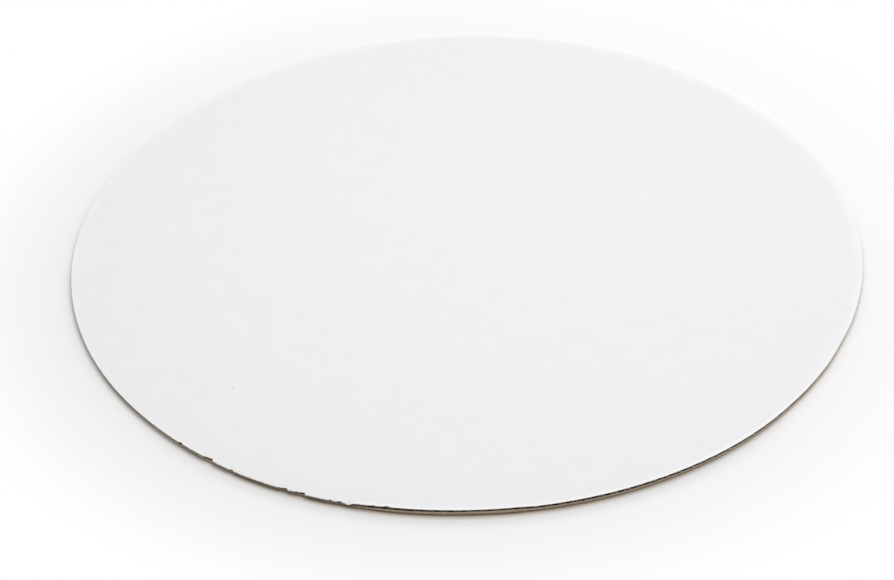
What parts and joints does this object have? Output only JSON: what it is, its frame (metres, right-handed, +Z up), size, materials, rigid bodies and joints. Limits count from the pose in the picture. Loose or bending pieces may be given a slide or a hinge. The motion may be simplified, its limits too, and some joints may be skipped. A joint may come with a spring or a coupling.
{
  "type": "cake board",
  "caption": "Thin round corrugated cake board with a white paper top, a fluted brown core open all round the cut rim and a kraft underside.",
  "frame": {"origin": "centre of the underside, on the surface that the board lies on", "axes": "+Z up through the white side; the flutes run along Y, and the worn rim faces -Y and -X"},
  "size_m": [0.4064, 0.4064, 0.0032],
  "materials": {
    "kraft_paper": "matte kraft paper",
    "fluting_paper": "matte rough brown paper",
    "white_paper": "smooth white paper, a soft satin"
  },
  "bodies": {
    "root": {"bottom_liner": "kraft_paper", "fluted_medium": "fluting_paper", "top_liner": "white_paper"}
  },
  "joints": []
}
